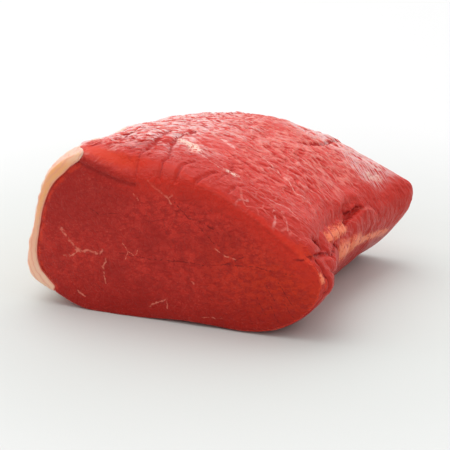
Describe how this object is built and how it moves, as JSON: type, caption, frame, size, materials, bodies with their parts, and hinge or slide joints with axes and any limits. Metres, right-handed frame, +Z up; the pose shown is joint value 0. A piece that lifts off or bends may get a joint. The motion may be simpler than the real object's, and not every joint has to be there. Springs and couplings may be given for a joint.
{
  "type": "raw beef roasting joint",
  "caption": "Raw beef roasting joint: a domed block of lean muscle with a flat cut at each end, a cap of fat down its left side and a seam between muscles on its right.",
  "frame": {"origin": "on the resting surface, under the middle of the joint's box", "axes": "-Y out of the front cut, +Y out of the back cut, -X towards the cap of fat, +X towards the seam, +Z up"},
  "size_m": [0.188, 0.1444, 0.0959],
  "materials": {
    "lean_meat": "raw beef muscle, moist, deep red on the cuts and brighter red on the outside",
    "beef_fat": "raw beef fat, moist, cream with a warm pink tint"
  },
  "bodies": {
    "root": {"lean": "lean_meat", "fat_cap": "beef_fat"}
  },
  "joints": []
}
